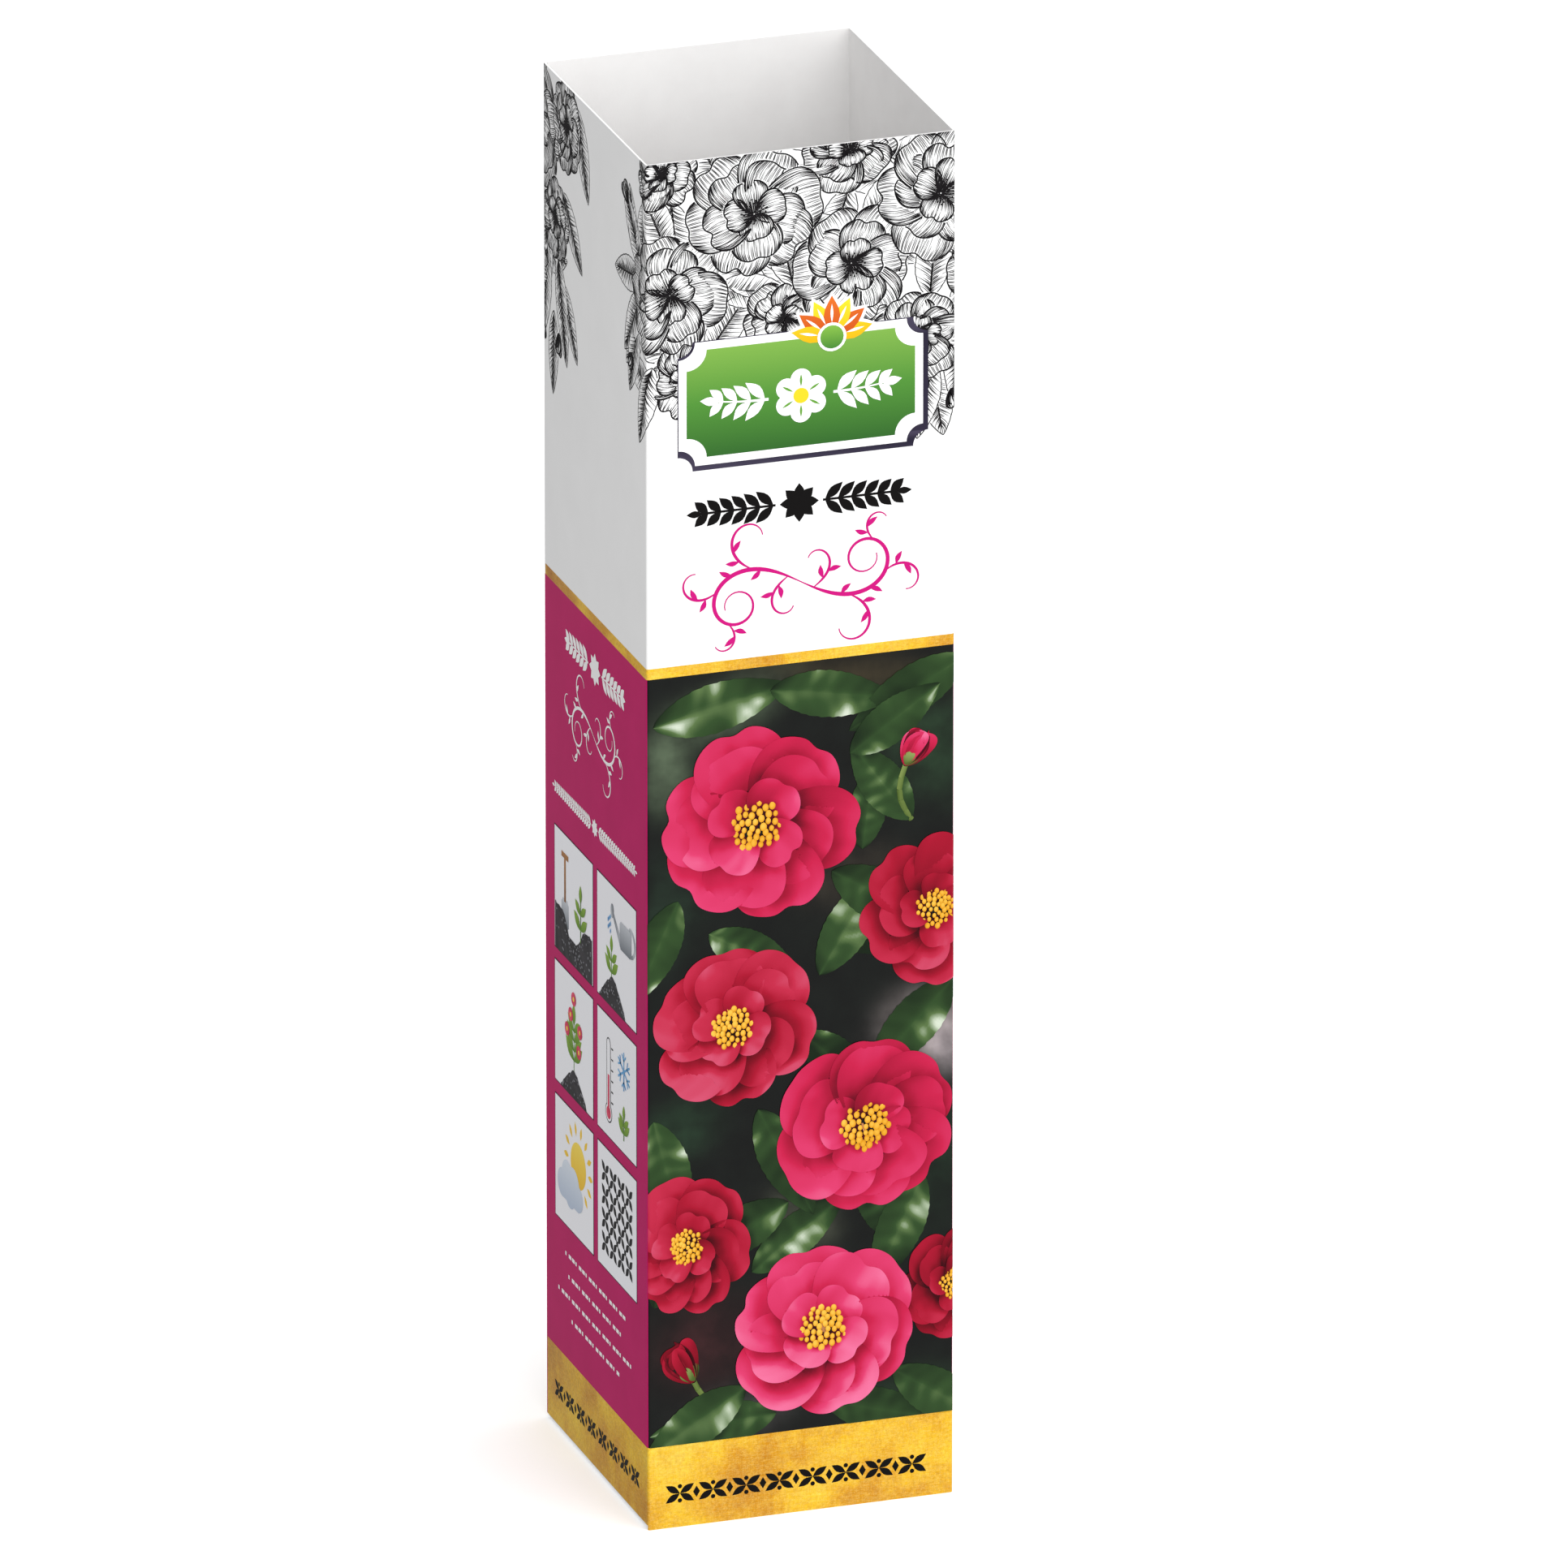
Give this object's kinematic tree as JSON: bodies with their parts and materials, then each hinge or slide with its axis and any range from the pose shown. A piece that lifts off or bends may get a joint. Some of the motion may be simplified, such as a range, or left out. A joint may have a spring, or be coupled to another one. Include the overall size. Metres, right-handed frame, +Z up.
{
  "type": "plant carton",
  "caption": "Tall square open-topped printed folding carton that holds a young potted garden shrub, with a glued side seam and a tuck-in bottom.",
  "frame": {"origin": "middle of the carton's flat underside", "axes": "+Z up the carton to its open top, -Y out of the front panel, -X out of the left panel, which carries the glued seam at its back edge"},
  "size_m": [0.1, 0.1, 0.45],
  "materials": {
    "white_printed_board": "white clay-coated folding board, printed and varnished, satin",
    "magenta_printed_board": "folding board printed magenta under a satin varnish",
    "plain_board": "unprinted folding board, matt",
    "gold_print": "mottled gold-leaf print, satin",
    "picture_print": "full-colour print of red blossoms and green leaves, satin",
    "black_print": "black ink under varnish",
    "green_print": "green ink under varnish"
  },
  "bodies": {
    "sleeve": {"front_panel": "white_printed_board", "right_panel": "magenta_printed_board", "back_panel": "white_printed_board", "left_panel": "magenta_printed_board", "glue_flap": "plain_board"},
    "closure": {"bottom_flap": "plain_board"},
    "tuck": {"tuck_flap": "plain_board"},
    "dust_left": {"dust_flap_left": "plain_board"},
    "dust_right": {"dust_flap_right": "plain_board"}
  },
  "joints": [
    {"name": "bottom_opens", "type": "hinge", "parent": "sleeve", "child": "closure", "pos_m": [0, 0.0497, 0.0003], "axis": [1, 0, 0], "range_deg": [0, 110]},
    {"name": "tuck_folds", "type": "hinge", "parent": "closure", "child": "tuck", "pos_m": [0, -0.0489, 0.0003], "axis": [-1, 0, 0], "range_deg": [0, 45]},
    {"name": "left_dust_flap_lifts", "type": "hinge", "parent": "sleeve", "child": "dust_left", "pos_m": [-0.0491, 0, 0.0011], "axis": [0, -1, 0], "range_deg": [0, 75]},
    {"name": "right_dust_flap_lifts", "type": "hinge", "parent": "sleeve", "child": "dust_right", "pos_m": [0.0491, 0, 0.0011], "axis": [0, 1, 0], "range_deg": [0, 75]}
  ]
}
